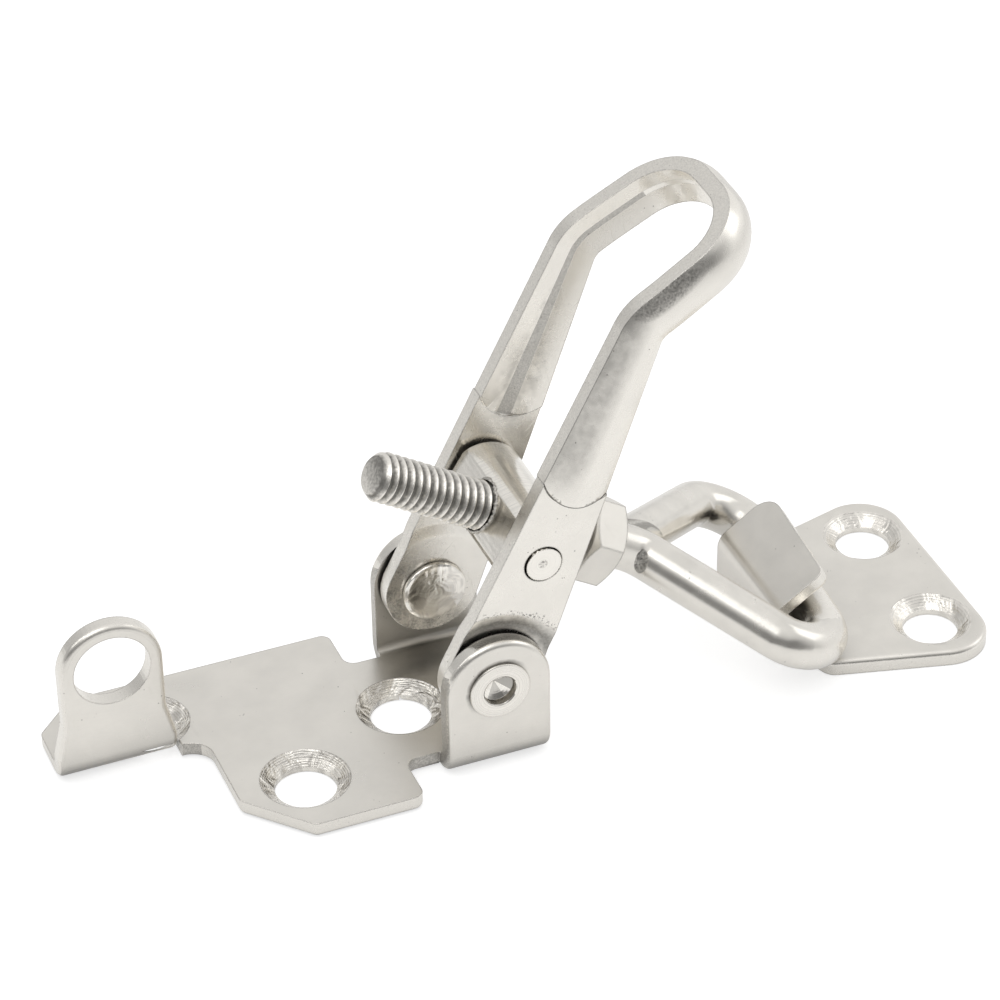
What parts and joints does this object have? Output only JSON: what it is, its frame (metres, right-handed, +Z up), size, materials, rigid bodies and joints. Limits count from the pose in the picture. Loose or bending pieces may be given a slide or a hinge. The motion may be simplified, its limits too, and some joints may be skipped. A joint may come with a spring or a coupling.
{
  "type": "over centre toggle latch",
  "caption": "Adjustable over centre toggle latch with an eared base plate, a looped strap lever, a threaded loop bolt with jam nut, a padlock tab and a hooked keeper plate.",
  "frame": {"origin": "on the base plate's underside, straight below the lever's pivot axis and midway between the ears", "axes": "+X from the base towards the keeper along the latch, +Y across the latch to the far ear, +Z up, away from the mounting surface"},
  "size_m": [0.1122, 0.0343, 0.0654],
  "materials": {
    "sheet_steel": "satin, tumbled edges",
    "strap_steel": "satin faces, sheared edges",
    "rivet_steel": "polished heads",
    "turned_steel": "turned, bright",
    "wire_steel": "drawn, tumbled bright"
  },
  "bodies": {
    "base": {"base_plate": "sheet_steel", "pivot_rivet_near": "rivet_steel", "pivot_rivet_far": "rivet_steel"},
    "lever": {"lever_handle": "strap_steel"},
    "trunnion": {"barrel": "turned_steel"},
    "bolt": {"loop_bolt": "wire_steel"},
    "nut": {"jam_nut": "turned_steel"},
    "keeper": {"keeper_plate": "sheet_steel"}
  },
  "joints": [
    {"name": "lever_hinge", "type": "hinge", "parent": "base", "child": "lever", "pos_m": [0, 0, 0.0114], "axis": [0, -1, 0], "range_deg": [0, 118.65]},
    {"name": "barrel_pivot", "type": "hinge", "parent": "lever", "child": "trunnion", "pos_m": [0.00642, 0, 0.02606], "axis": [0, -1, 0], "range_deg": [-96.5, 0]},
    {"name": "bolt_adjust", "type": "slide", "parent": "trunnion", "child": "bolt", "axis": [0.8517, 0, -0.524], "range_m": [0, 0.012]},
    {"name": "nut_run", "type": "slide", "parent": "trunnion", "child": "nut", "axis": [-0.8517, 0, 0.524], "range_m": [0, 0.0042]},
    {"name": "keeper_swing", "type": "hinge", "parent": "bolt", "child": "keeper", "pos_m": [0.04323, -0.00009, 0.00549], "axis": [0, -1, 0], "range_deg": [-24, 0]}
  ],
  "couplings": [
    {"joint": "barrel_pivot", "follows": "lever_hinge", "ratio": -0.8058},
    {"joint": "keeper_swing", "follows": "lever_hinge", "ratio": -0.1942}
  ]
}
